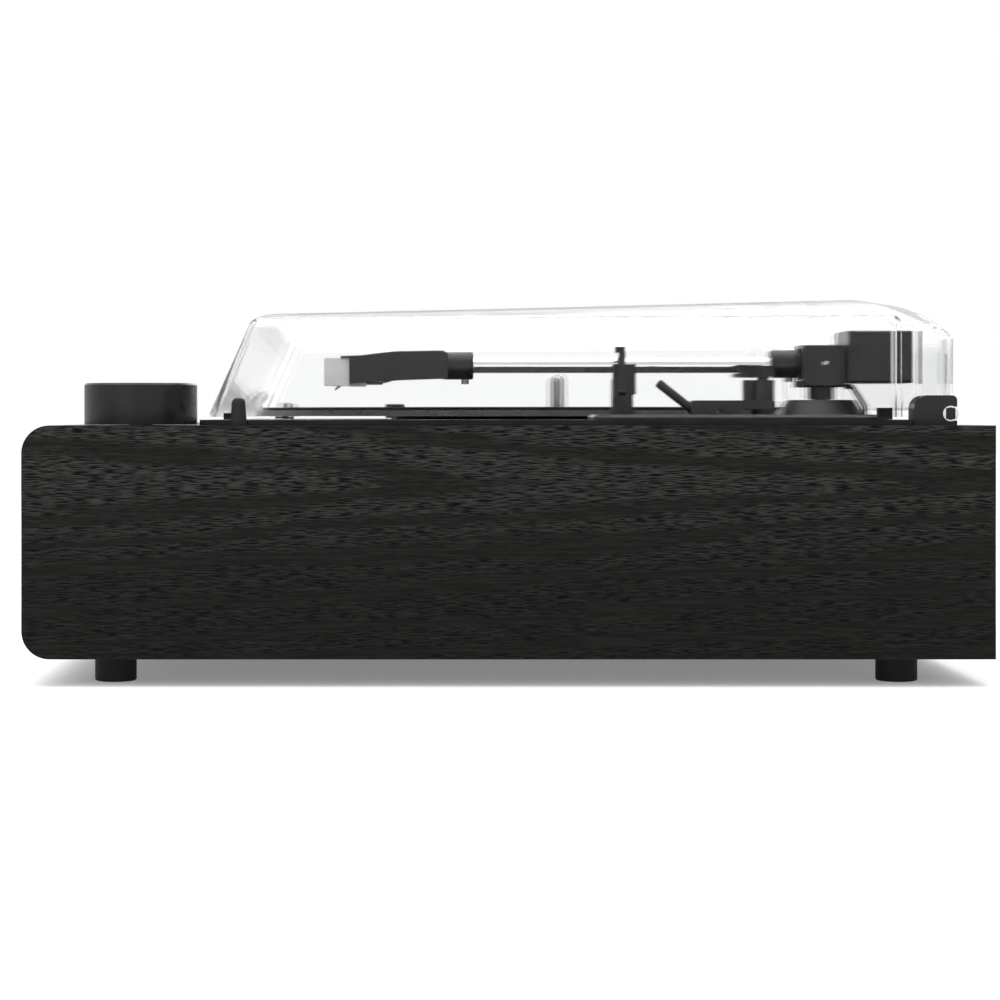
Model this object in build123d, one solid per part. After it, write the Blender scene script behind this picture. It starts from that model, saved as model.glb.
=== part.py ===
"""Belt-drive record player with a wooden cabinet, built-in speakers and a hinged clear dust cover.

Millimetres. +X is the player's right, -Y its front, +Z up.
The origin is on the surface the feet stand on, under the middle of the cabinet.
"""
import math
import os

from build123d import *

os.makedirs("parts", exist_ok=True)

# ---------------------------------------------------------------- driving dimensions
# cabinet
CAB_HALF_W = 220.0
CAB_HALF_D = 200.0
CAB_H = 96.0
EDGE_R = 11.5
PANEL_T = 12.0
FOOT_H = 11.5
FOOT_R = 8.75
FOOT_X = 190.0
FOOT_Y = 164.5
CAB_Z0 = FOOT_H
CAB_Z1 = FOOT_H + CAB_H
INNER_HALF_W = CAB_HALF_W - PANEL_T
INNER_Z0 = CAB_Z0 + PANEL_T
INNER_Z1 = CAB_Z1 - PANEL_T
MID_Z = (INNER_Z0 + INNER_Z1) / 2

# front, behind the grille
GRILLE_Y = -197.5
GRILLE_T = 3.5
BAFFLE_Y = GRILLE_Y + GRILLE_T
BAFFLE_T = 12.0
SPEAKER_X = 128.0
SPEAKER_R = 34.0
CONE_R = 29.0

# rear wall and what is on it
REAR_Y0 = 194.0
REAR_Y1 = 198.0
INLET_X = -160.0
ROCKER_X = -115.0
LINE_OUT_X = (70.0, 90.0)
AUX_X = 120.0
JACK_Z = 60.0
ROCKER_PIN_Y = 194.5

# deck plate on the cabinet's top
DECK_HALF_W = 209.5
DECK_Y0 = -128.0
DECK_Y1 = 187.0
DECK_T = 2.3
DECK_Z = CAB_Z1 + DECK_T
OPEN_X = 192.0
OPEN_Y0 = -100.0
OPEN_Y1 = 164.0
DECK_SCREW_X = 198.5
DECK_SCREW_Y = (-119.0, 150.0)
POST_X = 213.8
POST_Y = -111.2
POST_H = 11.3

# platter and drive
SPIN_X = -10.0
SPIN_Y = 32.3
SPINDLE_R = 3.55
SPINDLE_TOP = 131.8
PLATTER_R = 150.0
PLATTER_TOP_R = 147.5
PLATTER_Z0 = 111.3
PLATTER_Z1 = 114.0
MAT_R = 146.0
MAT_T = 1.4
RING_R = 82.0
RING_T = 4.0
RING_Z0 = 99.0
HUB_R = 14.0
WELL_R = 112.0
WELL_T = 2.0
WELL_Z0 = 94.0
BELT_T = 0.8
BELT_Z0 = 100.5
BELT_Z1 = 105.5
PULLEY_R = 6.0
MOTOR_R = 17.5
MOTOR_DISTANCE = 99.0
MOTOR_ANGLE = 225.0
BELT_GAP = 0.08
RUN_GAP = 0.05
BODY_GAP = 0.3

MOTOR_X = SPIN_X + MOTOR_DISTANCE * math.cos(math.radians(MOTOR_ANGLE))
MOTOR_Y = SPIN_Y + MOTOR_DISTANCE * math.sin(math.radians(MOTOR_ANGLE))

# volume control
KNOB_X = 175.0
KNOB_Y = -155.5
KNOB_R = 24.0
KNOB_TOP = 125.3
KNOB_STEM_R = 3.0

# slide controls on the deck's left
SELECT_X = -184.0
SPEED_Y = -49.6
SPEED_TRAVEL = 12.0
STOP_Y = 52.0
STOP_TRAVEL = 6.0

# tonearm
ARM_X = 155.0
ARM_Y = 138.1
TILT_Z = 134.2
TUBE_R = 3.43
TUBE_Z = 133.5
TUBE_Y0 = -14.0
TUBE_Y1 = 117.0
COLLAR_R = 6.0
COLLAR_Y0 = -24.2
COLLAR_Y1 = -13.1
COLLAR_Z = 133.2
SLEEVE_R = 6.1
SLEEVE_Z = 134.0
SLEEVE_Y0 = 115.5
HOUSE_HALF_W = 13.25
HOUSE_Y0 = 128.3
HOUSE_Y1 = 146.3
HOUSE_Z0 = 123.8
HOUSE_Z1 = 142.0
WEIGHT_HALF_W = 19.0
WEIGHT_Y0 = 146.9
WEIGHT_Y1 = 174.5
WEIGHT_Z0 = 125.5
WEIGHT_Z1 = 147.9
SHELL_HALF_W = 8.6
STYLUS_Y = -73.2
STYLUS_Z = 122.7

# arm platform and what stands on it
PLATFORM_Z1 = 112.0
PLATFORM_X0 = 143.5
PLATFORM_X1 = 192.0
PLATFORM_Y0 = 37.0
PLATFORM_Y1 = 161.5
BASE_R = 19.1
BASE_TOP_R = 14.8
BASE_TOP = 118.3
NECK_R = 5.85
SHAFT_R = 4.0
REST_Y0 = 47.2
REST_Y1 = 55.9
REST_FLOOR = 127.3
REST_TOP = 133.8
CLIP_X = ARM_X + 8.0
CLIP_Z = 121.8
CLIP_Y0 = 49.6
CLIP_Y1 = 52.4
LEAD_X = ARM_X + 11.0
LEAD_R = 1.1
LEAD_Z = 124.05
LEAD_END_Y = 155.4
FRAME_X0 = 166.0
FRAME_X1 = 184.0
FRAME_Y0 = 79.0
FRAME_Y1 = 114.0
FRAME_TOP = 118.0
FRAME_FOOT_Z = 114.3
LIFT_X = 174.0
LIFT_Y = 110.3
LIFT_COLUMN_R = 5.0
LIFT_COLUMN_TOP = 126.7
LIFT_BAR_R0 = 31.0
LIFT_BAR_R1 = 38.5
LIFT_BAR_Z0 = 128.3
LIFT_BAR_Z1 = 129.75
LEVER_X = 180.0
LEVER_Y = 84.4
LEVER_Z = 110.2
LEVER_R = 1.9
LEVER_SLOT = 4.3

# dust cover
COVER_HALF_W = 208.0
COVER_T = 2.3
COVER_EDGE_R = 4.0
COVER_INNER_R = 1.9
COVER_Z0 = 111.0
COVER_FRONT_Y = -124.6
COVER_SLOPE_Y = -105.6
COVER_SIDE_TOP = 153.3
COVER_BREAK_Y = 164.3
COVER_REAR_Y = 187.0
COVER_FRONT_MID = 159.0
COVER_BREAK_MID = 167.0
COVER_REAR_SIDE = 143.5
COVER_REAR_MID = 164.8
NOTCH_X = 192.8
HINGE_X0 = 193.3
HINGE_X1 = 206.3
HINGE_Y0 = 169.0
HINGE_Y1 = 186.9
HINGE_TOP = 120.0
PIN_Y = 184.2
PIN_Z = 112.4
PIN_R = 3.2
PIN_MOUTH = 2.9
LEAF_HALF_T = 2.4
LEAF_Y0 = 180.3
LEAF_Y1 = 183.4
EYE_R = 4.2
HINGE_SCREW_Y = 173.4
POCKET_Z0 = 121.0
POCKET_Y0 = 171.0
POCKET_Y1 = 185.2
POCKET_WALL = 1.8
COVER_REAR_Z0 = 114.0


# ---------------------------------------------------------------- shapes used everywhere
def block(x0, x1, y0, y1, z0, z1):
    return Pos((x0 + x1) / 2, (y0 + y1) / 2, (z0 + z1) / 2) * Box(x1 - x0, y1 - y0, z1 - z0)


def rod_z(x, y, z0, z1, radius):
    return Pos(x, y, (z0 + z1) / 2) * Cylinder(radius, z1 - z0)


def rod_x(x0, x1, y, z, radius):
    return Pos((x0 + x1) / 2, y, z) * Rot(0, 90, 0) * Cylinder(radius, x1 - x0)


def rod_y(x, y0, y1, z, radius):
    return Pos(x, (y0 + y1) / 2, z) * Rot(90, 0, 0) * Cylinder(radius, y1 - y0)


def cone_z(x, y, z0, z1, bottom_r, top_r):
    return Pos(x, y, (z0 + z1) / 2) * Cone(bottom_r, top_r, z1 - z0)


def slab_x(x0, x1, outline):
    """An outline drawn in (Y, Z), pulled along X."""
    return extrude(Plane.YZ.offset(x0) * outline, amount=x1 - x0, dir=(1, 0, 0))


def slab_z(z0, z1, outline):
    """An outline drawn in (X, Y), pulled up along Z."""
    return extrude(Plane.XY.offset(z0) * outline, amount=z1 - z0, dir=(0, 0, 1))


def corners(*points):
    return make_face(Polyline(*points, close=True))


def mirrored(solid):
    return mirror(solid, about=Plane.YZ)


def save(name, *solids):
    shape = solids[0] if len(solids) == 1 else Compound(children=list(solids))
    export_step(shape, f"parts/{name}.step")


# ---------------------------------------------------------------- cabinet
def side_panel():
    panel = block(INNER_HALF_W, CAB_HALF_W, -CAB_HALF_D, CAB_HALF_D, CAB_Z0, CAB_Z1)
    front = panel.edges().filter_by(Axis.X).sort_by(Axis.Y)[:2]
    return fillet(front, EDGE_R)


def knob_hole():
    return rod_z(KNOB_X, KNOB_Y, CAB_Z0, KNOB_TOP, 5.0)


def top_panel():
    panel = block(-INNER_HALF_W, INNER_HALF_W, -CAB_HALF_D, CAB_HALF_D, INNER_Z1, CAB_Z1)
    lip = panel.edges().filter_by(Axis.X).sort_by(Axis.Y)[:2].sort_by(Axis.Z)[-1]
    panel = fillet(lip, EDGE_R)
    panel -= block(-OPEN_X, OPEN_X, OPEN_Y0, OPEN_Y1, CAB_Z0, DECK_Z)
    panel -= knob_hole()
    panel -= deck_screws()
    return panel


def bottom_panel():
    panel = block(-INNER_HALF_W, INNER_HALF_W, -CAB_HALF_D, CAB_HALF_D, CAB_Z0, INNER_Z0)
    lip = panel.edges().filter_by(Axis.X).sort_by(Axis.Y)[:2].sort_by(Axis.Z)[0]
    panel = fillet(lip, EDGE_R)
    for x, y in foot_places():
        panel -= rod_z(x, y, CAB_Z0, INNER_Z0, FOOT_R / 2)
    return panel


def foot_places():
    return [(x, y) for x in (-FOOT_X, FOOT_X) for y in (-FOOT_Y, FOOT_Y)]


def foot(x, y):
    """A rubber foot with a push-in stem, dished underneath."""
    pad = rod_z(x, y, 0, FOOT_H, FOOT_R)
    pad = fillet(pad.edges().sort_by(Axis.Z)[0], 1.0)
    pad -= rod_z(x, y, 0, 1.5, FOOT_R / 2)
    return pad + rod_z(x, y, FOOT_H, INNER_Z0 + 2, FOOT_R / 2)


def front_baffle():
    board = block(-INNER_HALF_W, INNER_HALF_W, BAFFLE_Y, BAFFLE_Y + BAFFLE_T, INNER_Z0, INNER_Z1)
    for x in (-SPEAKER_X, SPEAKER_X):
        board -= rod_y(x, BAFFLE_Y, BAFFLE_Y + BAFFLE_T, MID_Z, CONE_R)
    return board


def speaker_grille():
    board = block(-INNER_HALF_W + 1, INNER_HALF_W - 1, GRILLE_Y, BAFFLE_Y, INNER_Z0 + 1, INNER_Z1 - 1)
    upright = board.edges().filter_by(Axis.Y)
    return fillet(upright, 4.0)


def speaker_driver(x):
    """A pressed basket with its magnet, on the back of the baffle."""
    back = BAFFLE_Y + BAFFLE_T
    flange = rod_y(x, back, back + 2.5, MID_Z, SPEAKER_R)
    basket = Pos(x, back + 12.5, MID_Z) * Rot(-90, 0, 0) * Cone(CONE_R, 16.0, 20)
    magnet = rod_y(x, back + 22.5, back + 38, MID_Z, 25.0)
    hollow = Pos(x, back + 10.5, MID_Z) * Rot(-90, 0, 0) * Cone(CONE_R - 1.2, 14.0, 21)
    return flange + basket + magnet - hollow


def speaker_cone(x):
    back = BAFFLE_Y + BAFFLE_T
    outer = Pos(x, back + 7.5, MID_Z) * Rot(-90, 0, 0) * Cone(CONE_R - 2.5, 10.0, 15)
    inner = Pos(x, back + 6.5, MID_Z) * Rot(-90, 0, 0) * Cone(CONE_R - 3.5, 9.0, 15)
    dome = Pos(x, back + 14, MID_Z) * Rot(-90, 0, 0) * Cylinder(10.0, 2.0)
    return outer - inner + dome


def rear_panel():
    wall = block(-INNER_HALF_W, INNER_HALF_W, REAR_Y0, REAR_Y1, INNER_Z0, INNER_Z1)
    wall -= block(INLET_X - 13, INLET_X + 13, REAR_Y0, REAR_Y1, JACK_Z - 7, JACK_Z + 7)
    wall -= block(ROCKER_X - 10.5, ROCKER_X + 10.5, REAR_Y0, REAR_Y1, JACK_Z - 7, JACK_Z + 7)
    for x in LINE_OUT_X:
        wall -= rod_y(x, REAR_Y0, REAR_Y1, JACK_Z, 5.0)
    wall -= rod_y(AUX_X, REAR_Y0, REAR_Y1, JACK_Z, 4.0)
    return wall


def power_inlet():
    """A two-pin mains inlet, its socket open to the rear."""
    shell = block(INLET_X - 13, INLET_X + 13, 176, REAR_Y1, JACK_Z - 7, JACK_Z + 7)
    rim = block(INLET_X - 15, INLET_X + 15, REAR_Y1, REAR_Y1 + 1.5, JACK_Z - 9, JACK_Z + 9)
    socket = block(INLET_X - 10.5, INLET_X + 10.5, 184, REAR_Y1 + 2, JACK_Z - 4.8, JACK_Z + 4.8)
    shell = shell + rim - socket
    for x in (INLET_X - 4.3, INLET_X + 4.3):
        shell += rod_y(x, 180, REAR_Y1 - 3, JACK_Z, 1.2)
    return shell


def switch_case():
    shell = block(ROCKER_X - 10.5, ROCKER_X + 10.5, 178, REAR_Y1, JACK_Z - 7, JACK_Z + 7)
    rim = block(ROCKER_X - 12.5, ROCKER_X + 12.5, REAR_Y1, REAR_Y1 + 1.2, JACK_Z - 9, JACK_Z + 9)
    well = block(ROCKER_X - 9, ROCKER_X + 9, 186, REAR_Y1 + 2, JACK_Z - 5.5, JACK_Z + 5.5)
    shell = shell + rim - well
    return shell - rod_x(ROCKER_X - 10, ROCKER_X + 10, ROCKER_PIN_Y, JACK_Z, 1.0 + RUN_GAP)


def power_rocker():
    """A rocker with two faces, on stub axles."""
    face_y = REAR_Y1 + 1.2
    outline = corners((190.5, JACK_Z - 2), (face_y + 0.6, JACK_Z - 4.6), (face_y - 1.2, JACK_Z),
                      (face_y - 0.6, JACK_Z + 4.6), (190.5, JACK_Z + 2))
    rocker = slab_x(ROCKER_X - 8.6, ROCKER_X + 8.6, outline)
    return rocker + rod_x(ROCKER_X - 9.9, ROCKER_X + 9.9, ROCKER_PIN_Y, JACK_Z, 1.0)


def line_out_jack(x):
    """A phono socket: a barrel that the plug's collar grips, hollow for its pin."""
    shell = rod_y(x, 182, REAR_Y1, JACK_Z, 5.0) + rod_y(x, REAR_Y1, REAR_Y1 + 1.0, JACK_Z, 6.5)
    shell += rod_y(x, REAR_Y1 + 1.0, REAR_Y1 + 2.0, JACK_Z, 4.15)
    return shell - rod_y(x, 186, REAR_Y1 + 2.0, JACK_Z, 1.65)


def aux_jack():
    shell = rod_y(AUX_X, 182, REAR_Y1, JACK_Z, 4.0) + rod_y(AUX_X, REAR_Y1, REAR_Y1 + 1.2, JACK_Z, 5.5)
    return shell - rod_y(AUX_X, 184, REAR_Y1 + 1.2, JACK_Z, 1.8)


def amplifier_board():
    board = block(60, 190, 60, 160, INNER_Z0 + 6, INNER_Z0 + 7.6)
    for x in (66, 184):
        for y in (66, 154):
            board += rod_z(x, y, INNER_Z0, INNER_Z0 + 6, 3.0)
    return board


def board_parts():
    """The parts soldered on the amplifier board: capacitors, chips and a finned heat sink."""
    top = INNER_Z0 + 7.6
    parts = [rod_z(x, 140, top, top + 20, 6.0) for x in (90, 108, 126)]
    parts.append(block(150, 175, 120, 145, top, top + 14))
    parts.append(block(90, 106, 85, 101, top, top + 2.5))
    sink = block(125, 165, 70, 90, top, top + 3)
    for x in range(126, 165, 6):
        sink += block(x, x + 1.5, 70, 90, top + 3, top + 18)
    parts.append(sink)
    return parts


def transformer():
    core = block(-185, -130, 110, 150, INNER_Z0, INNER_Z0 + 34)
    winding = block(-174, -141, 104, 156, INNER_Z0 + 7, INNER_Z0 + 27)
    return core + winding


# ---------------------------------------------------------------- deck
def deck_screws():
    """Black countersunk screws, flush with the deck plate, into the top panel."""
    screws = []
    for x in (-DECK_SCREW_X, DECK_SCREW_X):
        for y in DECK_SCREW_Y:
            head = cone_z(x, y, DECK_Z - 1.8, DECK_Z, 1.6, 3.4)
            screws.append(head + rod_z(x, y, INNER_Z1 + 1, DECK_Z - 1.8, 1.6))
    return screws


def hinge_screws():
    """The same screws, one in each hinge base."""
    screws = []
    for side in (-1, 1):
        x = side * (HINGE_X0 + HINGE_X1) / 2
        head = rod_z(x, HINGE_SCREW_Y, 115.0, 117.0, 2.8)
        screws.append(head + rod_z(x, HINGE_SCREW_Y, INNER_Z1 + 1, 115.0, 1.5))
    return screws


def deck_plate():
    plate = block(-DECK_HALF_W, DECK_HALF_W, DECK_Y0, DECK_Y1, CAB_Z1, DECK_Z)
    plate = fillet(plate.edges().filter_by(Axis.Z), 5.0)
    plate -= rod_z(SPIN_X, SPIN_Y, CAB_Z1, DECK_Z, WELL_R)
    plate -= rod_z(ARM_X, ARM_Y, CAB_Z1, DECK_Z, 8.0)
    for side in (-1, 1):
        x0 = min(side * (HINGE_X0 - 2), side * DECK_HALF_W)
        x1 = max(side * (HINGE_X0 - 2), side * DECK_HALF_W)
        plate -= block(x0, x1, HINGE_Y0 - 1, DECK_Y1, CAB_Z1, DECK_Z)
    plate -= stem_slot(SPEED_Y, SPEED_TRAVEL)
    plate -= stem_slot(STOP_Y, STOP_TRAVEL)
    plate -= lever_slot()
    plate -= deck_screws()
    return plate


def lever_slot():
    """The slot through the deck plate and the platform that the cue lever turns in."""
    return block(LEVER_X - LEVER_SLOT, LEVER_X + LEVER_SLOT, 74.0, LEVER_Y + 4.0, CAB_Z1, PLATFORM_Z1)


def stem_slot(y, travel):
    """The slot in the deck plate for the stem of a slide control."""
    return block(SELECT_X - 2, SELECT_X + 2, y - 2.5, y + travel + 2.5, CAB_Z1, DECK_Z)


def slide_cap(y, top):
    """A round finger cap on a flat stem that works the switch below."""
    cap = rod_z(SELECT_X, y, DECK_Z + BODY_GAP, top, 5.5)
    cap = fillet(cap.edges().sort_by(Axis.Z)[-1], 0.8)
    return cap + block(SELECT_X - 1.5, SELECT_X + 1.5, y - 2, y + 2, 100, DECK_Z + BODY_GAP)


def slide_switch(y, travel):
    case = block(SELECT_X - 6, SELECT_X + 6, y - 8, y + travel + 8, 92, CAB_Z1)
    return case - block(SELECT_X - 2, SELECT_X + 2, y - 2.5, y + travel + 2.5, 98, CAB_Z1)


def lid_post(x):
    """A rubber post beside the front of the cover, that keeps it in line as it closes."""
    post = cone_z(x, POST_Y, CAB_Z1, CAB_Z1 + POST_H, 3.5, 2.7)
    return fillet(post.edges().sort_by(Axis.Z)[-1], 2.0)


def volume_pot():
    """The rotary control under the top panel, with its threaded neck in the panel's hole."""
    can = rod_z(KNOB_X, KNOB_Y, 80, INNER_Z1, 12.0)
    neck = rod_z(KNOB_X, KNOB_Y, INNER_Z1, CAB_Z1 + 3, 5.0)
    return can + neck - rod_z(KNOB_X, KNOB_Y, 82, CAB_Z1 + 3, KNOB_STEM_R + RUN_GAP)


def volume_knob():
    """A turned aluminium knob: a cup with a thick rim and a stem down the middle."""
    cup = rod_z(KNOB_X, KNOB_Y, CAB_Z1 + BODY_GAP, KNOB_TOP, KNOB_R)
    cup = chamfer(cup.edges().sort_by(Axis.Z)[-1], 0.8)
    cup -= rod_z(KNOB_X, KNOB_Y, CAB_Z1 + BODY_GAP, KNOB_TOP - 4, KNOB_R - 3)
    return cup + rod_z(KNOB_X, KNOB_Y, 84, KNOB_TOP - 4, KNOB_STEM_R)


# ---------------------------------------------------------------- platter and drive
def platter():
    """A cast disc with a drive ring and a hub underneath."""
    disc = cone_z(SPIN_X, SPIN_Y, PLATTER_Z0, PLATTER_Z1, PLATTER_R, PLATTER_TOP_R)
    ring = rod_z(SPIN_X, SPIN_Y, RING_Z0, PLATTER_Z0, RING_R)
    ring -= rod_z(SPIN_X, SPIN_Y, RING_Z0, PLATTER_Z0, RING_R - RING_T)
    hub = rod_z(SPIN_X, SPIN_Y, RING_Z0, PLATTER_Z0, HUB_R)
    return disc + ring + hub - rod_z(SPIN_X, SPIN_Y, RING_Z0, PLATTER_Z1, SPINDLE_R)


def platter_mat():
    mat = rod_z(SPIN_X, SPIN_Y, PLATTER_Z1, PLATTER_Z1 + MAT_T, MAT_R)
    return mat - rod_z(SPIN_X, SPIN_Y, PLATTER_Z1, PLATTER_Z1 + MAT_T, SPINDLE_R)


def spindle():
    pin = rod_z(SPIN_X, SPIN_Y, 70, SPINDLE_TOP, SPINDLE_R)
    return fillet(pin.edges().sort_by(Axis.Z)[-1], SPINDLE_R - 0.3)


def platter_well():
    """A moulded dish under the deck plate, holding the bearing and the motor."""
    dish = rod_z(SPIN_X, SPIN_Y, WELL_Z0, CAB_Z1, WELL_R + WELL_T)
    dish += rod_z(SPIN_X, SPIN_Y, CAB_Z1 - WELL_T, CAB_Z1, WELL_R + 12)
    dish -= rod_z(SPIN_X, SPIN_Y, WELL_Z0 + WELL_T, CAB_Z1, WELL_R)
    dish -= rod_z(SPIN_X, SPIN_Y, WELL_Z0, CAB_Z1, 9.0)
    dish -= rod_z(MOTOR_X, MOTOR_Y, WELL_Z0, CAB_Z1, 5.0)
    for screw in drive_screws():
        dish -= screw
    return dish


def motor_screw_places():
    angles = [math.radians(90 + 120 * i) for i in range(3)]
    return [(MOTOR_X + 22 * math.cos(a), MOTOR_Y + 22 * math.sin(a)) for a in angles]


def drive_screws():
    """Pan-head screws: four up through the well's flange, three that hang the motor."""
    screws = []
    for i in range(4):
        angle = math.radians(45 + 90 * i)
        x = SPIN_X + (WELL_R + 7) * math.cos(angle)
        y = SPIN_Y + (WELL_R + 7) * math.sin(angle)
        screws.append(rod_z(x, y, 103.5, 105.5, 3.0) + rod_z(x, y, 105.5, CAB_Z1, 1.5))
    for x, y in motor_screw_places():
        screws.append(rod_z(x, y, 86, 88, 3.0) + rod_z(x, y, 88, WELL_Z0 + WELL_T, 1.5))
    return screws


def bearing_housing():
    tube = rod_z(SPIN_X, SPIN_Y, 66, WELL_Z0 + WELL_T, 9.0)
    flange = rod_z(SPIN_X, SPIN_Y, WELL_Z0 - 2, WELL_Z0, 18.0)
    return tube + flange - rod_z(SPIN_X, SPIN_Y, 69.5, WELL_Z0 + WELL_T, 6.0)


def bearing_bush():
    bush = rod_z(SPIN_X, SPIN_Y, 71, WELL_Z0 + WELL_T, 6.0)
    return bush - rod_z(SPIN_X, SPIN_Y, 71, WELL_Z0 + WELL_T, SPINDLE_R + RUN_GAP)


def belt_loop(gap):
    """The outline round the drive ring and the pulley, a gap off both."""
    ring = Pos(SPIN_X, SPIN_Y) * Circle(RING_R + gap)
    pulley = Pos(MOTOR_X, MOTOR_Y) * Circle(PULLEY_R + gap)
    return make_hull(ring.edges() + pulley.edges())


def drive_belt():
    outer = slab_z(BELT_Z0, BELT_Z1, belt_loop(BELT_GAP + BELT_T))
    return outer - slab_z(BELT_Z0, BELT_Z1, belt_loop(BELT_GAP))


def motor():
    can = rod_z(MOTOR_X, MOTOR_Y, 58, 90, MOTOR_R)
    can = fillet(can.edges().sort_by(Axis.Z)[0], 2.0)
    flange = rod_z(MOTOR_X, MOTOR_Y, 88, 90, 27.0)
    can = can + flange - rod_z(MOTOR_X, MOTOR_Y, 80, 90, 1.0 + RUN_GAP)
    for x, y in motor_screw_places():
        can -= rod_z(x, y, 88, 90, 1.5)
    return can


def motor_grommets():
    rings = []
    for x, y in motor_screw_places():
        rings.append(rod_z(x, y, 90, WELL_Z0, 4.5) - rod_z(x, y, 90, WELL_Z0, 1.5))
    return rings


def motor_pulley():
    """A pulley with two flanges on the motor's shaft."""
    shaft = rod_z(MOTOR_X, MOTOR_Y, 81, 98, 1.0)
    wheel = rod_z(MOTOR_X, MOTOR_Y, 98, 107, PULLEY_R)
    low = rod_z(MOTOR_X, MOTOR_Y, 98, 99.5, PULLEY_R + 1.5)
    high = rod_z(MOTOR_X, MOTOR_Y, 106.3, 107, PULLEY_R + 1.5)
    return shaft + wheel + low + high


# ---------------------------------------------------------------- arm platform
def arm_platform():
    """A raised pad on the deck, with a round lobe under the arm's base and a chamfered edge."""
    pad = block(PLATFORM_X0, PLATFORM_X1, PLATFORM_Y0, PLATFORM_Y1, DECK_Z, PLATFORM_Z1)
    pad = fillet(pad.edges().filter_by(Axis.Z), 4.0)
    pad = chamfer(pad.faces().sort_by(Axis.Z)[-1].edges(), 1.2)
    lobe = rod_z(ARM_X, ARM_Y, DECK_Z, PLATFORM_Z1, 23.0)
    lobe = chamfer(lobe.edges().sort_by(Axis.Z)[-1], 1.2)
    return pad + lobe - rod_z(ARM_X, ARM_Y, DECK_Z, PLATFORM_Z1, 8.0) - lever_slot()


def arm_base():
    """A turned cone with a tube that goes down through the deck and carries the arm's shaft."""
    cone = cone_z(ARM_X, ARM_Y, PLATFORM_Z1, BASE_TOP, BASE_R, BASE_TOP_R)
    tube = rod_z(ARM_X, ARM_Y, 98, PLATFORM_Z1, 8.0)
    return cone + tube - rod_z(ARM_X, ARM_Y, 98, BASE_TOP, SHAFT_R + RUN_GAP)


def arm_rest():
    """A post with a cradle open towards the platter, a high outer wall and two clip ears."""
    post = block(ARM_X - 4.5, ARM_X + 6.5, REST_Y0, REST_Y1, PLATFORM_Z1, REST_FLOOR)
    wall = block(ARM_X + 4.0, ARM_X + 6.5, REST_Y0, REST_Y1, REST_FLOOR, REST_TOP)
    flange = block(ARM_X + 4.0, ARM_X + 6.5, REST_Y1, REST_Y1 + 1.2, 120.7, REST_TOP)
    foot_pad = block(ARM_X - 6.0, ARM_X + 8.0, REST_Y0 - 1, REST_Y1 + 1, PLATFORM_Z1, PLATFORM_Z1 + 1.5)
    rest = post + wall + flange + foot_pad
    for y0 in (REST_Y0 + 0.3, CLIP_Y1 + 0.3):
        rest += block(ARM_X + 6.5, ARM_X + 9.4, y0, y0 + 1.8, 119.5, 124.0)
    return rest - rod_y(CLIP_X, REST_Y0 - 1, REST_Y1 + 1, CLIP_Z, 0.8 + RUN_GAP)


def arm_clip():
    """A hooked catch on its own pin, that swings outwards to free the arm."""
    strap = block(ARM_X + 7.0, ARM_X + 9.0, CLIP_Y0, CLIP_Y1, CLIP_Z, 141.3)
    hook = block(ARM_X - 2.0, ARM_X + 9.0, CLIP_Y0, CLIP_Y1, 139.4, 141.3)
    nub = block(ARM_X + 7.0, ARM_X + 9.0, CLIP_Y0 - 1.6, CLIP_Y0, 138.6, 141.3)
    eye = rod_y(CLIP_X, CLIP_Y0, CLIP_Y1, CLIP_Z, 1.4)
    pin = rod_y(CLIP_X, CLIP_Y0 - 1.6, CLIP_Y1 + 1.6, CLIP_Z, 0.8)
    return strap + hook + nub + eye + pin


def lift_bracket():
    """The lift's frame on the platform, with its guide column and a slot for the cue lever."""
    frame_box = block(FRAME_X0, FRAME_X1, FRAME_Y0, FRAME_Y1, PLATFORM_Z1, FRAME_TOP)
    frame_box = fillet(frame_box.edges().filter_by(Axis.X).sort_by(Axis.Z)[-2:], 1.2)
    frame_box -= block(FRAME_X0, FRAME_X1, FRAME_Y0 + 10.5, FRAME_Y0 + 13.3, PLATFORM_Z1 + 0.4, FRAME_FOOT_Z)
    frame_box -= block(FRAME_X0, FRAME_X1, FRAME_Y1 - 14.0, FRAME_Y1, PLATFORM_Z1, FRAME_FOOT_Z)
    frame_box -= block(LEVER_X - 2.4, LEVER_X + 2.4, FRAME_Y0, LEVER_Y + 6.6, PLATFORM_Z1, FRAME_TOP)
    for x0 in (LEVER_X - LEVER_SLOT, LEVER_X + 2.4):
        ear = block(x0, x0 + LEVER_SLOT - 2.4, LEVER_Y - 2.4, LEVER_Y + 4.0, LEVER_Z - 2.4, PLATFORM_Z1 + 1.5)
        frame_box += ear - rod_x(x0, x0 + LEVER_SLOT, LEVER_Y, LEVER_Z, 0.9 + RUN_GAP)
    column = rod_z(LIFT_X, LIFT_Y, PLATFORM_Z1, LIFT_COLUMN_TOP, LIFT_COLUMN_R)
    rib = block(LIFT_X - 1.5, LIFT_X + 1.5, LIFT_Y - 8.5, LIFT_Y - 4, FRAME_TOP, LIFT_COLUMN_TOP)
    post = frame_box + column + rib
    return post - rod_z(LIFT_X, LIFT_Y, PLATFORM_Z1 + 1, LIFT_COLUMN_TOP, 2.5 + RUN_GAP)


def arc_bar(r0, r1, a0, a1, z0, z1):
    """A flat bar curved about the arm's upright axis; angles from -Y, positive towards the platter."""
    points = []
    for radius, ends in ((r0, (a0, a1)), (r1, (a1, a0))):
        for t in (0.0, 0.5, 1.0):
            angle = math.radians(ends[0] + t * (ends[1] - ends[0]))
            points.append((ARM_X - radius * math.sin(angle), ARM_Y - radius * math.cos(angle)))
    inner = ThreePointArc(*points[:3])
    outer = ThreePointArc(*points[3:])
    ends = [Line(points[2], points[3]), Line(points[5], points[0])]
    return slab_z(z0, z1, make_face([inner, ends[0], outer, ends[1]]))


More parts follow.
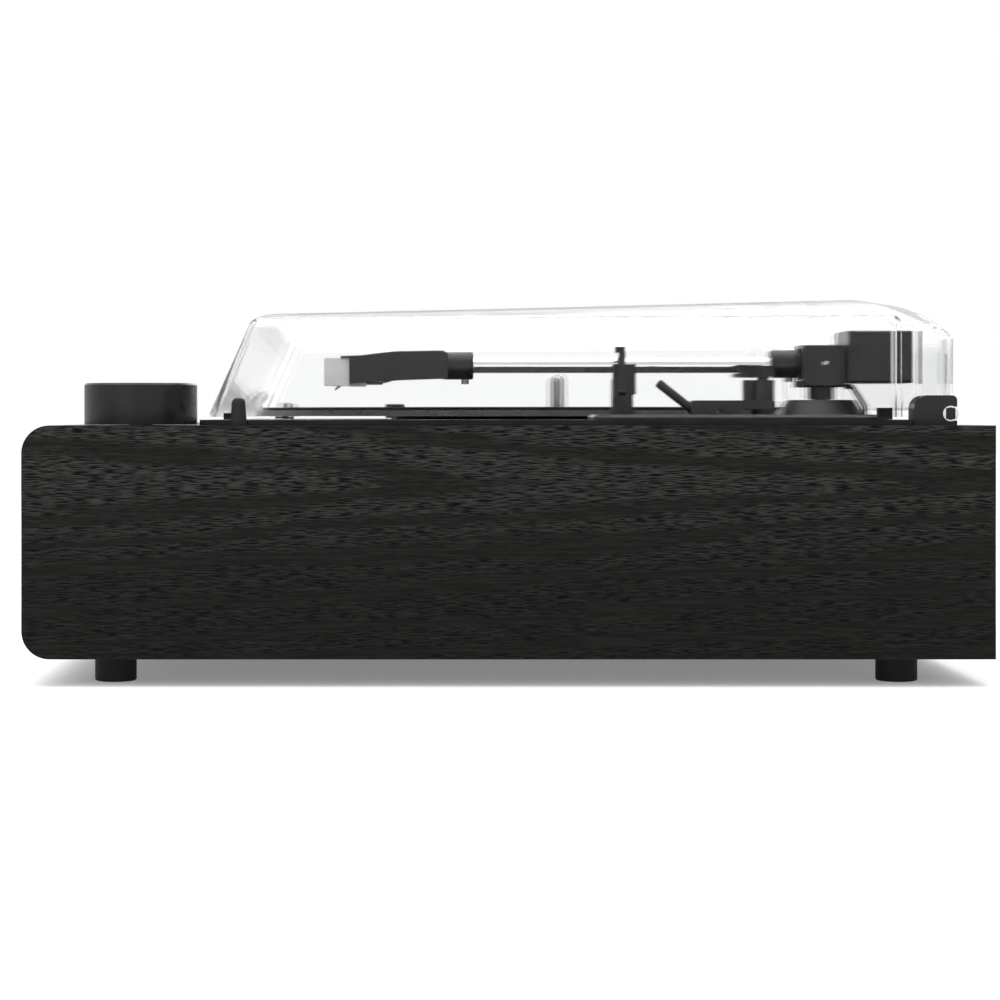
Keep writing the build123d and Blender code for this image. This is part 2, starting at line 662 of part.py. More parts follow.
def lift_bar():
    """The bar that raises the tube, on its plunger, with a lip at its outer end."""
    bar = arc_bar(LIFT_BAR_R0, LIFT_BAR_R1, -42, 47, LIFT_BAR_Z0, LIFT_BAR_Z1)
    bar += arc_bar(LIFT_BAR_R0, LIFT_BAR_R1, -42, -16, LIFT_BAR_Z1, LIFT_BAR_Z1 + 3)
    return bar + rod_z(LIFT_X, LIFT_Y, 115.5, LIFT_BAR_Z0, 2.5)


def cue_lever():
    """A straight round lever on its cross pin."""
    tip = (LEVER_X, 64.8, 125.6)
    path = Line(tip, (LEVER_X, LEVER_Y, LEVER_Z))
    section = Plane(origin=tip, z_dir=path.tangent_at(0)) * Circle(LEVER_R)
    rod = sweep(section, path=path)
    rod = fillet(rod.edges().filter_by(GeomType.CIRCLE).sort_by(Axis.Y)[0], 0.9)
    hub = rod_x(LEVER_X - 2.05, LEVER_X + 2.05, LEVER_Y, LEVER_Z, 2.4)
    pin = rod_x(LEVER_X - 3.9, LEVER_X + 3.9, LEVER_Y, LEVER_Z, 0.9)
    return rod + hub + pin


def arm_lead():
    """The thin lead from the back of the arm's housing down to the platform."""
    start = (LEAD_X, HOUSE_Y1, LEAD_Z)
    high = (LEAD_X, HOUSE_Y1 + 3.6, LEAD_Z)
    low = (LEAD_X, LEAD_END_Y, PLATFORM_Z1 + 3.6)
    end = (LEAD_X, LEAD_END_Y, PLATFORM_Z1)
    path = FilletPolyline(start, high, low, end, radius=2.4)
    section = Plane(origin=start, z_dir=(0, 1, 0)) * Circle(LEAD_R)
    return sweep(section, path=path)


# ---------------------------------------------------------------- tonearm
def arm_turret():
    """The bearing housing that swings with the arm: a tunnel, a neck and the upright shaft."""
    x0 = ARM_X - HOUSE_HALF_W
    x1 = ARM_X + HOUSE_HALF_W
    house = block(x0, x1, HOUSE_Y0, HOUSE_Y1, HOUSE_Z0, HOUSE_Z1)
    house = fillet(house.edges().filter_by(Axis.Y), 1.0)
    house -= block(ARM_X - 9, ARM_X + 9, HOUSE_Y0, HOUSE_Y1, 127.1, 140.7)
    house += block(ARM_X + 5, ARM_X + 11, HOUSE_Y0 - 3, HOUSE_Y0, HOUSE_Z0, 126.4)
    neck = rod_z(ARM_X, ARM_Y, BASE_TOP + BODY_GAP, HOUSE_Z0, NECK_R)
    shaft = rod_z(ARM_X, ARM_Y, 99, BASE_TOP + BODY_GAP, SHAFT_R)
    turret = house + neck + shaft
    return turret - rod_x(x0, x1, ARM_Y, TILT_Z, 0.9)


def pivot_screws():
    screws = []
    for side in (-1, 1):
        inner = ARM_X + side * 7.4
        outer = ARM_X + side * (HOUSE_HALF_W + 0.2)
        screws.append(rod_x(min(inner, outer), max(inner, outer), ARM_Y, TILT_Z, 0.9))
    return screws


def pivot_block():
    """The block inside the housing that the tube and the weight are fixed to."""
    core = block(ARM_X - 8.5, ARM_X + 8.5, HOUSE_Y0 + 2, HOUSE_Y1 - 2, 128.0, 139.6)
    core += rod_y(ARM_X, HOUSE_Y0 - 1, HOUSE_Y0 + 2, SLEEVE_Z, 4.6)
    core += rod_y(ARM_X, HOUSE_Y1 - 2, WEIGHT_Y0 + 8, SLEEVE_Z, 4.0)
    for side in (-1, 1):
        inner = ARM_X + side * 7.2
        outer = ARM_X + side * 8.5
        core -= rod_x(min(inner, outer), max(inner, outer), ARM_Y, TILT_Z, 0.9 + RUN_GAP)
    return core


def arm_tube():
    tube = rod_y(ARM_X, TUBE_Y0 - 6, TUBE_Y1, TUBE_Z, TUBE_R)
    return tube - rod_y(ARM_X, TUBE_Y0 - 6, TUBE_Y1, TUBE_Z, TUBE_R - 0.6)


def arm_sleeve():
    """A black sleeve that joins the tube to the pivot block."""
    sleeve = rod_y(ARM_X, SLEEVE_Y0, HOUSE_Y0 - 1, SLEEVE_Z, SLEEVE_R)
    sleeve = fillet(sleeve.edges().sort_by(Axis.Y)[0], 1.2)
    return sleeve - rod_y(ARM_X, SLEEVE_Y0, TUBE_Y1, TUBE_Z, TUBE_R) - arm_screws()


def arm_collar():
    collar = rod_y(ARM_X, COLLAR_Y0, COLLAR_Y1, COLLAR_Z, COLLAR_R)
    collar = fillet(collar.edges().sort_by(Axis.Y)[-1], 0.6)
    return collar - rod_y(ARM_X, TUBE_Y0 - 6, COLLAR_Y1, TUBE_Z, TUBE_R) - arm_screws()


def arm_screws():
    """A small screw under the collar and another under the sleeve."""
    front = rod_z(ARM_X, -16.6, 125.2, 127.3, 1.7) + rod_z(ARM_X, -16.6, 127.3, 129.0, 1.0)
    rear = rod_z(ARM_X, 124.0, 126.2, 128.1, 1.7) + rod_z(ARM_X, 124.0, 128.1, 129.5, 1.0)
    return [front, rear]


def headshell():
    """A hollow moulded shell that bends down towards its front, with a lip over the cartridge."""
    top = Polyline((-70.5, 137.3), (-61.4, 137.6), (-47.1, 139.4), (-26.2, 139.7))
    nose = Line((-70.5, 136.45), (-70.5, 137.3))
    lip = Line((-66.8, 136.45), (-70.5, 136.45))
    front = Line((-66.8, 125.3), (-66.8, 136.45))
    under = Polyline((-27.1, 127.6), (-44.9, 127.0), (-66.8, 125.3))
    back = Polyline((-26.2, 139.7), (-24.2, 138.6), (-24.2, 127.2), (-27.1, 127.6))
    outline = make_face([top, back, under, front, lip, nose])
    shell = slab_x(ARM_X - SHELL_HALF_W, ARM_X + SHELL_HALF_W, outline)
    plug = rod_y(ARM_X, COLLAR_Y0 - 5, COLLAR_Y0, TUBE_Z, TUBE_R)
    hollow = block(ARM_X - 6.8, ARM_X + 6.8, -66.8, -32, 120, 134.5)
    return shell + plug - hollow


def cartridge():
    body = block(ARM_X - 7.5, ARM_X + 7.5, -77.7, -66.8, 124.4, 136.4)
    body = fillet(body.edges().filter_by(Axis.X).sort_by(Axis.Y)[:2], 0.6)
    rear = block(ARM_X - 6.4, ARM_X + 6.4, -66.8, -52, 126.0, 134.0)
    foot_strip = block(ARM_X - 6.4, ARM_X + 6.4, -66.8, -59.7, 124.2, 126.0)
    return body + rear + foot_strip - stylus()


def stylus():
    """The needle's cantilever, slanting down and forward from its holder."""
    tip = (ARM_X, STYLUS_Y, STYLUS_Z)
    root_y = -70.4
    root_z = 125.0
    slant = Plane(origin=tip, z_dir=(0, root_y - STYLUS_Y, root_z - STYLUS_Z))
    length = math.hypot(root_y - STYLUS_Y, root_z - STYLUS_Z)
    needle = slant * Pos(0, 0, length / 2) * Cone(0.35, 0.6, length)
    return needle + rod_z(ARM_X, root_y, 124.3, 125.8, 0.9)


def counterweight():
    weight = block(ARM_X - WEIGHT_HALF_W, ARM_X + WEIGHT_HALF_W, WEIGHT_Y0, WEIGHT_Y1,
                   WEIGHT_Z0, WEIGHT_Z1)
    weight = fillet(weight.edges().filter_by(Axis.Y), 1.2)
    for y in (155.5, 165.3):
        weight -= rod_x(ARM_X + WEIGHT_HALF_W - 1.5, ARM_X + WEIGHT_HALF_W, y, 135.0, 1.1)
    return weight - rod_y(ARM_X, WEIGHT_Y0, WEIGHT_Y0 + 8, SLEEVE_Z, 4.0)


# ---------------------------------------------------------------- dust cover
def roof_section(y, side_z, mid_z, inset):
    """A slice across the cover: upright sides and a crowned top."""
    half = COVER_HALF_W - inset
    low = COVER_Z0 - (5.0 if inset else 0.0)
    sides = Polyline((half, side_z - inset), (half, low), (-half, low), (-half, side_z - inset))
    crown = ThreePointArc((-half, side_z - inset), (0, mid_z - inset), (half, side_z - inset))
    return Pos(0, y, 0) * (Plane.XZ * make_face([sides, crown]))


def cover_block(inset):
    """The cover as if solid, every wall moved inwards by inset."""
    rear_y = COVER_REAR_Y - inset
    sections = [roof_section(COVER_FRONT_Y - 1, COVER_SIDE_TOP - 1.5, COVER_FRONT_MID, inset),
                roof_section(COVER_BREAK_Y, COVER_SIDE_TOP, COVER_BREAK_MID, inset),
                roof_section(rear_y, COVER_REAR_SIDE, COVER_REAR_MID, inset)]
    solid = loft(sections, ruled=True)
    run = COVER_SLOPE_Y - COVER_FRONT_Y
    rise = COVER_SIDE_TOP - COVER_Z0
    shift = inset * math.hypot(run, rise) / rise
    front = COVER_FRONT_Y + shift
    lean = run / rise
    wedge = corners((front - 40, COVER_Z0 - 20), (front - 20 * lean, COVER_Z0 - 20),
                    (front + 70 * lean, COVER_Z0 + 70), (front - 40, COVER_Z0 + 70))
    solid -= slab_x(-COVER_HALF_W - 5, COVER_HALF_W + 5, wedge)
    notch = block(NOTCH_X - inset, COVER_HALF_W + 5, COVER_BREAK_Y - inset, COVER_REAR_Y + 5,
                  COVER_Z0 - 20, COVER_BREAK_MID + 20)
    return solid - notch - mirrored(notch)


def rounded_block(inset, radius):
    """The cover block with all but its lower edges rounded."""
    solid = cover_block(inset)
    edges = [edge for edge in solid.edges() if edge.center().Z > COVER_Z0 + 2 and edge.length > 2]
    return fillet(edges, radius)


def hinge_pocket():
    """A box over the hinge base that takes the hinge leaf from below."""
    outline = corners((POCKET_Y0, POCKET_Z0), (POCKET_Y1, POCKET_Z0), (POCKET_Y1, 145.2), (POCKET_Y0, 149.0))
    inner_y0 = POCKET_Y0 + POCKET_WALL
    inner_y1 = POCKET_Y1 - POCKET_WALL
    hollow = corners((inner_y0, POCKET_Z0), (inner_y1, POCKET_Z0), (inner_y1, 143.4), (inner_y0, 147.0))
    shell = slab_x(NOTCH_X - 0.5, 206.5, outline)
    return shell - slab_x(NOTCH_X + 1.3, 204.7, hollow)


def dust_cover():
    shell = rounded_block(0.0, COVER_EDGE_R) - rounded_block(COVER_T, COVER_INNER_R)
    shell -= block(-NOTCH_X, NOTCH_X, COVER_REAR_Y - COVER_T, COVER_REAR_Y, COVER_Z0, COVER_REAR_Z0)
    pocket = hinge_pocket()
    return shell + pocket + mirrored(pocket)


def cover_bumpers():
    """Black rubber pads in the cover's lower corners, that rest on the deck plate."""
    pads = []
    inner = COVER_HALF_W - COVER_T
    rear = COVER_BREAK_Y - COVER_T - COVER_INNER_R
    for y0, y1, top in ((-118.0, -110.0, 112.6), (154.4, rear, 114.8)):
        pad = block(inner - 5.5, inner, y0, y1, DECK_Z + 0.1, top)
        pads += [pad, mirrored(pad)]
    return pads


def hinge_base():
    """A clevis on the cabinet's top: two ears with a notch for the pin, open to the rear."""
    front_r = 5.5
    rear_r = 2.1
    bulge = 1 - math.cos(math.radians(45))
    front = ThreePointArc((HINGE_Y0, HINGE_TOP - front_r),
                          (HINGE_Y0 + front_r * bulge, HINGE_TOP - front_r * bulge),
                          (HINGE_Y0 + front_r, HINGE_TOP))
    top = Line((HINGE_Y0 + front_r, HINGE_TOP), (HINGE_Y1 - rear_r, HINGE_TOP))
    turn = ThreePointArc((HINGE_Y1 - rear_r, HINGE_TOP),
                         (HINGE_Y1 - rear_r * bulge, HINGE_TOP - rear_r * bulge),
                         (HINGE_Y1, HINGE_TOP - rear_r))
    rest = Polyline((HINGE_Y1, HINGE_TOP - rear_r), (HINGE_Y1, CAB_Z1), (HINGE_Y0, CAB_Z1),
                    (HINGE_Y0, HINGE_TOP - front_r))
    base = slab_x(HINGE_X0, HINGE_X1, make_face([front, top, turn, rest]))
    middle = (HINGE_X0 + HINGE_X1) / 2
    slot = LEAF_HALF_T + BODY_GAP
    base -= block(middle - slot, middle + slot, LEAF_Y0 - 0.8, HINGE_Y1, CAB_Z1, HINGE_TOP)
    base -= rod_x(HINGE_X0, HINGE_X1, PIN_Y, PIN_Z, PIN_R + RUN_GAP)
    base -= block(HINGE_X0, HINGE_X1, PIN_Y, HINGE_Y1, PIN_Z - PIN_MOUTH, PIN_Z + PIN_MOUTH)
    base -= rod_z(middle, HINGE_SCREW_Y, CAB_Z1, 115.0, 1.5)
    return base - rod_z(middle, HINGE_SCREW_Y, 115.0, HINGE_TOP, 2.8)


def hinge_leaf():
    """A blade that stands in the cover's pocket and turns on the pin."""
    middle = (HINGE_X0 + HINGE_X1) / 2
    blade = block(middle - LEAF_HALF_T, middle + LEAF_HALF_T, LEAF_Y0, LEAF_Y1, PIN_Z, 137.4)
    eye = rod_x(middle - LEAF_HALF_T, middle + LEAF_HALF_T, PIN_Y, PIN_Z, EYE_R)
    return blade + eye - rod_x(HINGE_X0, HINGE_X1, PIN_Y, PIN_Z, PIN_R)


def hinge_pin():
    return rod_x(HINGE_X0, HINGE_X1, PIN_Y, PIN_Z, PIN_R)


# ---------------------------------------------------------------- write every node
save("side_panel_right", side_panel())
save("side_panel_left", mirrored(side_panel()))
save("top_panel", top_panel() - hinge_screws())
save("bottom_panel", bottom_panel())
save("front_baffle", front_baffle())
save("speaker_grille", speaker_grille())
save("speaker_drivers", speaker_driver(-SPEAKER_X), speaker_driver(SPEAKER_X))
save("speaker_cones", speaker_cone(-SPEAKER_X), speaker_cone(SPEAKER_X))
save("rear_panel", rear_panel())
save("feet", *[foot(x, y) for x, y in foot_places()])
save("power_inlet", power_inlet())
save("power_switch_case", switch_case())
save("power_rocker", power_rocker())
save("signal_jacks", *[line_out_jack(x) for x in LINE_OUT_X], aux_jack())
save("amplifier_board", amplifier_board())
save("board_parts", *board_parts())
save("transformer", transformer())

save("deck_plate", deck_plate())
save("deck_screws", *deck_screws(), *hinge_screws())
save("lid_posts", lid_post(-POST_X), lid_post(POST_X))
save("speed_selector", slide_cap(SPEED_Y, 118.0))
save("auto_stop_switch", slide_cap(STOP_Y, 116.2))
save("slide_switches", slide_switch(SPEED_Y, SPEED_TRAVEL), slide_switch(STOP_Y, STOP_TRAVEL))
save("volume_pot", volume_pot())
save("volume_knob", volume_knob())

save("platter", platter())
save("platter_mat", platter_mat())
save("spindle", spindle())
save("platter_well", platter_well())
save("drive_screws", *drive_screws())
save("bearing_housing", bearing_housing())
save("bearing_bush", bearing_bush())
save("drive_belt", drive_belt())
save("motor", motor())
save("motor_grommets", *motor_grommets())
save("motor_pulley", motor_pulley())

save("arm_platform", arm_platform())
save("arm_base", arm_base())
save("arm_rest", arm_rest())
save("arm_clip", arm_clip())
save("lift_bracket", lift_bracket())
save("lift_bar", lift_bar())
save("cue_lever", cue_lever())
save("arm_lead", arm_lead())

save("arm_turret", arm_turret())
save("pivot_screws", *pivot_screws())
save("pivot_block", pivot_block())
save("arm_tube", arm_tube())
save("arm_sleeve", arm_sleeve())
save("arm_collar", arm_collar())
save("arm_screws", *arm_screws())
save("headshell", headshell())
save("cartridge", cartridge())
save("stylus", stylus())
save("counterweight", counterweight())

save("dust_cover", dust_cover())
save("cover_bumpers", *cover_bumpers())
save("hinge_bases", hinge_base(), mirrored(hinge_base()))
save("hinge_leaves", hinge_leaf(), mirrored(hinge_leaf()))
save("hinge_pins", hinge_pin(), mirrored(hinge_pin()))
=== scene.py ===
import math

import bpy
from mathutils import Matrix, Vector


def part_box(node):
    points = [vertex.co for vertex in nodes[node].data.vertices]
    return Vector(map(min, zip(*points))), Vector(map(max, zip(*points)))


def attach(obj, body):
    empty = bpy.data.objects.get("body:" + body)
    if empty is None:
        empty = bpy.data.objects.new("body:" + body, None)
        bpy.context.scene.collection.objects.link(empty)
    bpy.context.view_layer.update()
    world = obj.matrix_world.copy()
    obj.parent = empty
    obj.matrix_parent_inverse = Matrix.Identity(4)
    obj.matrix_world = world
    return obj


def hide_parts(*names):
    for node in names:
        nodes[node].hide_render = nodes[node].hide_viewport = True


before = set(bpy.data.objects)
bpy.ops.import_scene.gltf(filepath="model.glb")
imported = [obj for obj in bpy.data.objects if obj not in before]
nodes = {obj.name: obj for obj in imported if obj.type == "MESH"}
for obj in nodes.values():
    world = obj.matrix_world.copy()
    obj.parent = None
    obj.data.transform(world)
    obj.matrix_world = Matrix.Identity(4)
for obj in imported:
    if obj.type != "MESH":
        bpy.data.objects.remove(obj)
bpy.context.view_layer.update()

scene = bpy.context.scene

# ---- Camera
# A long lens square to the player's right side, a little above the deck and left of the middle.
# The picture is shifted instead of the camera being tilted, so uprights stay upright.
CAMERA_FROM_SIDE = 1.085
CAMERA_LENS = 95.2
CAMERA_ALONG = -0.0384
CAMERA_HEIGHT = 0.1118
PICTURE_SHIFT = 0.085
near_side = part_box("side_panel_right")[1]
camera_data = bpy.data.cameras.new("camera")
camera_data.lens = CAMERA_LENS
camera_data.shift_x = PICTURE_SHIFT
camera_data.shift_y = -PICTURE_SHIFT
camera = bpy.data.objects.new("camera", camera_data)
camera.location = (near_side.x + CAMERA_FROM_SIDE, CAMERA_ALONG, CAMERA_HEIGHT)
camera.rotation_euler = (math.radians(90), 0, math.radians(90))
scene.collection.objects.link(camera)
scene.camera = camera

# ---- Studio
# A white sweep under a bright overcast light: a wide soft box above, one behind, and a weak one by
# the camera. The sweep is lit from below as well, so the shadow on it stays a soft grey.
FLOOR_HALF = 6.0
FLOOR_GLOW = 0.22
HORIZON = (0.02, 0.16)
HORIZON_MIRRORED = (0.30, 1.0)
scene.view_settings.view_transform = "Standard"
world = bpy.data.worlds.new("studio_air")
world.use_nodes = True
air = world.node_tree
air.nodes["Background"].inputs["Color"].default_value = (1, 1, 1, 1)
direction = air.nodes.new("ShaderNodeSeparateXYZ")
air.links.new(air.nodes.new("ShaderNodeTexCoord").outputs["Generated"], direction.inputs[0])
dim_low = air.nodes.new("ShaderNodeMapRange")
for socket, number in zip(dim_low.inputs[1:5], HORIZON + HORIZON_MIRRORED):
    socket.default_value = number
air.links.new(direction.outputs["Z"], dim_low.inputs[0])
strength = air.nodes.new("ShaderNodeMix")
strength.inputs["A"].default_value = 1.0
ray = air.nodes.new("ShaderNodeLightPath")
mirrored_only = air.nodes.new("ShaderNodeMath")
mirrored_only.operation = "SUBTRACT"
mirrored_only.use_clamp = True
air.links.new(ray.outputs["Is Glossy Ray"], mirrored_only.inputs[0])
air.links.new(ray.outputs["Is Transmission Ray"], mirrored_only.inputs[1])
air.links.new(mirrored_only.outputs[0], strength.inputs["Factor"])
air.links.new(dim_low.outputs[0], strength.inputs["B"])
air.links.new(strength.outputs["Result"], air.nodes["Background"].inputs["Strength"])
scene.world = world


def soft_box(name, place, target, width, height, power):
    """A rectangular lamp that faces a point."""
    data = bpy.data.lights.new(name, "AREA")
    data.shape = "RECTANGLE"
    data.size = width
    data.size_y = height
    data.energy = power
    lamp = bpy.data.objects.new(name, data)
    lamp.location = place
    lamp.rotation_euler = (Vector(target) - Vector(place)).to_track_quat("-Z", "Y").to_euler()
    scene.collection.objects.link(lamp)


soft_box("top_light", (0.1, -0.1, 1.5), (0, 0, 0.1), 1.8, 1.8, 22)
soft_box("back_light", (-1.6, 0.2, 0.9), (0, 0, 0.1), 1.6, 0.9, 10)
soft_box("camera_light", (1.5, -0.9, 0.9), (0, 0, 0.1), 0.8, 0.8, 5)


def new_nodes(name):
    """An empty material and its principled shader, for the sections below to build on."""
    material = bpy.data.materials.new(name)
    material.use_nodes = True
    return material, material.node_tree, material.node_tree.nodes["Principled BSDF"]


def add_node(tree, kind, **settings):
    """A node with its plain settings, and its sockets where the name is a socket's."""
    node = tree.nodes.new(kind)
    for key, value in settings.items():
        if hasattr(node, key):
            setattr(node, key, value)
        else:
            node.inputs[key.replace("_", " ").title()].default_value = value
    return node


def add_mesh(name, points, faces, smooth=True):
    """A mesh object made from points in metres and faces."""
    mesh = bpy.data.meshes.new(name)
    mesh.from_pydata([tuple(p) for p in points], [], faces)
    mesh.validate()
    mesh.polygons.foreach_set("use_smooth", [smooth] * len(mesh.polygons))
    piece = bpy.data.objects.new(name, mesh)
    scene.collection.objects.link(piece)
    return piece


floor_white, tree, shader = new_nodes("floor_white")
cloudy = add_node(tree, "ShaderNodeTexNoise", scale=3.0)
tint = add_node(tree, "ShaderNodeValToRGB")
tint.color_ramp.elements[0].color = (0.90, 0.90, 0.90, 1)
tint.color_ramp.elements[1].color = (0.93, 0.93, 0.93, 1)
tree.links.new(cloudy.outputs["Fac"], tint.inputs["Fac"])
tree.links.new(tint.outputs["Color"], shader.inputs["Base Color"])
shader.inputs["Roughness"].default_value = 0.9
shader.inputs["Specular IOR Level"].default_value = 0.1
shader.inputs["Emission Color"].default_value = (1.0, 0.99, 0.98, 1)
shader.inputs["Emission Strength"].default_value = FLOOR_GLOW
floor_corners = [(across * FLOOR_HALF, along * FLOOR_HALF, 0)
                 for across, along in ((-1, -1), (1, -1), (1, 1), (-1, 1))]
floor = add_mesh("floor", floor_corners, [(0, 1, 2, 3)])
floor.data.materials.append(floor_white)


# ---- Cabinet panels
# Fibreboard faced with black-stained ash veneer. Bands of open pores alternate with smooth late wood,
# and on the sides the bands close into long arches. The panels are glued and their edges sanded soft.
RING_PITCH = 0.0135
RING_WANDER = 0.024
RING_RIPPLE = 0.006
WANDER_ACROSS = 60.0
WANDER_ALONG = 4.0
RIPPLE_FINER = 6
ARCH_HEIGHT = 0.086
ARCH_PLACE = 0.12
ARCH_SLOPE = 0.065
ARCH_ROUND = 0.00004
PORE_LENGTH = 0.0064
PORE_WIDTH = 0.00036
LINE_LENGTH = 0.030
LINE_WIDTH = 0.0011
PLAIN_Z = 0.035
FIGURED_Z = 0.098
FIGURE_RANGE = (0.10, 0.75)
FLAT_ARCH_PLACE = 0.30
FLAT_ARCH_ACROSS = -0.16
FLAT_ARCH_SLOPE = 0.05
SOFT_EDGE = 0.0004


def soften_edges(name, width, segments=2, angle=35):
    """A small bevel on a CAD piece's sharp edges."""
    bevel = nodes[name].modifiers.new("soft_edge", "BEVEL")
    bevel.width = width
    bevel.segments = segments
    bevel.limit_method = "ANGLE"
    bevel.angle_limit = math.radians(angle)
    bevel.use_clamp_overlap = True


def give(material, *names):
    """Puts a material on CAD pieces."""
    for name in names:
        mesh = nodes[name].data
        mesh.materials.clear()
        mesh.materials.append(material)


def math_node(tree, operation, first, second):
    """One sum of two sockets or numbers."""
    node = tree.nodes.new("ShaderNodeMath")
    node.operation = operation
    for socket, value in zip(node.inputs, (first, second)):
        if isinstance(value, (int, float)):
            socket.default_value = value
        else:
            tree.links.new(value, socket)
    return node.outputs[0]


def stretched(tree, source, scale):
    """Coordinates stretched so that a texture runs along the grain."""
    mapping = tree.nodes.new("ShaderNodeMapping")
    mapping.inputs["Scale"].default_value = scale
    tree.links.new(source, mapping.inputs["Vector"])
    return mapping.outputs["Vector"]


def noise_on(tree, vector, scale, detail=3.0, roughness=0.55):
    """A noise texture read at a vector."""
    noise = tree.nodes.new("ShaderNodeTexNoise")
    noise.inputs["Scale"].default_value = scale
    noise.inputs["Detail"].default_value = detail
    noise.inputs["Roughness"].default_value = roughness
    tree.links.new(vector, noise.inputs["Vector"])
    return noise.outputs["Fac"]


def between(tree, value, low, high, out_low=0.0, out_high=1.0):
    """A value brought from one range to another, with soft ends."""
    ramp = tree.nodes.new("ShaderNodeMapRange")
    ramp.interpolation_type = "SMOOTHSTEP"
    for socket, number in zip(ramp.inputs[1:5], (low, high, out_low, out_high)):
        socket.default_value = number
    tree.links.new(value, ramp.inputs[0])
    return ramp.outputs[0]


def veneer(name, along, across, arch_place, arch_height, slope):
    """Black ash with its grain along one axis and its growth rings stacked across another."""
    material, tree, shader = new_nodes(name)
    place = tree.nodes.new("ShaderNodeTexCoord").outputs["Object"]
    parts = tree.nodes.new("ShaderNodeSeparateXYZ")
    tree.links.new(place, parts.inputs[0])
    long_way = parts.outputs[along]
    cross_way = parts.outputs[across]
    slow = [WANDER_ACROSS] * 3
    slow["XYZ".index(along)] = WANDER_ALONG
    fine = [1 / PORE_WIDTH] * 3
    fine["XYZ".index(along)] = 1 / PORE_LENGTH
    wander = noise_on(tree, stretched(tree, place, slow), 1.0, 3.0, 0.5)
    ripple = noise_on(tree, stretched(tree, place, [number * RIPPLE_FINER for number in slow]), 1.0, 2.0, 0.5)
    off_axis = math_node(tree, "SUBTRACT", cross_way, arch_height)
    off_squared = math_node(tree, "MULTIPLY", off_axis, off_axis)
    bowed = math_node(tree, "POWER", math_node(tree, "ADD", off_squared, ARCH_ROUND), 0.5)
    down_length = math_node(tree, "MULTIPLY", math_node(tree, "SUBTRACT", long_way, arch_place), slope)
    ring = math_node(tree, "ADD", bowed, down_length)
    ring = math_node(tree, "ADD", ring, math_node(tree, "MULTIPLY", wander, RING_WANDER))
    ring = math_node(tree, "ADD", ring, math_node(tree, "MULTIPLY", ripple, RING_RIPPLE))
    turns = math_node(tree, "MULTIPLY", ring, 2 * math.pi / RING_PITCH)
    band = between(tree, math_node(tree, "SINE", turns, 0.0), -1.0, 0.15, 0.15, 1.0)
    pores = noise_on(tree, stretched(tree, place, fine), 1.0, 1.0, 0.5)
    pores_here = between(tree, band, 0.0, 1.0, 0.3, 1.0)
    open_pore = math_node(tree, "MULTIPLY", between(tree, pores, 0.52, 0.60), pores_here)
    raised = math_node(tree, "MULTIPLY", between(tree, pores, 0.56, 0.42), band)
    figured = between(tree, parts.outputs["Z"], PLAIN_Z, FIGURED_Z, *FIGURE_RANGE)
    raised = math_node(tree, "MULTIPLY", raised, figured)
    long_lines = [1 / LINE_WIDTH] * 3
    long_lines["XYZ".index(along)] = 1 / LINE_LENGTH
    lines = noise_on(tree, stretched(tree, place, long_lines), 1.0, 2.0, 0.6)
    raised = math_node(tree, "ADD", raised, between(tree, lines, 0.40, 0.65, 0.0, 0.16))
    colour = tree.nodes.new("ShaderNodeMix")
    colour.data_type = "RGBA"
    colour.inputs["A"].default_value = (0.0050, 0.0049, 0.0042, 1)
    colour.inputs["B"].default_value = (0.034, 0.034, 0.032, 1)
    tree.links.new(raised, colour.inputs["Factor"])
    dark = tree.nodes.new("ShaderNodeMix")
    dark.data_type = "RGBA"
    dark.inputs["B"].default_value = (0.0015, 0.0015, 0.0015, 1)
    tree.links.new(colour.outputs["Result"], dark.inputs["A"])
    tree.links.new(open_pore, dark.inputs["Factor"])
    tree.links.new(dark.outputs["Result"], shader.inputs["Base Color"])
    tree.links.new(between(tree, open_pore, 0.0, 1.0, 0.42, 0.7), shader.inputs["Roughness"])
    shader.inputs["Specular IOR Level"].default_value = 0.07
    height = math_node(tree, "SUBTRACT", math_node(tree, "MULTIPLY", raised, 0.4), open_pore)
    bump = add_node(tree, "ShaderNodeBump", strength=0.55, distance=0.0002)
    tree.links.new(height, bump.inputs["Height"])
    tree.links.new(bump.outputs["Normal"], shader.inputs["Normal"])
    return material


side_veneer = veneer("side_veneer", "Y", "Z", ARCH_PLACE, ARCH_HEIGHT, ARCH_SLOPE)
flat_veneer = veneer("flat_veneer", "X", "Y", FLAT_ARCH_PLACE, FLAT_ARCH_ACROSS, FLAT_ARCH_SLOPE)
give(side_veneer, "side_panel_left", "side_panel_right")
give(flat_veneer, "top_panel", "bottom_panel")
for panel in ("side_panel_left", "side_panel_right", "top_panel", "bottom_panel"):
    soften_edges(panel, SOFT_EDGE)


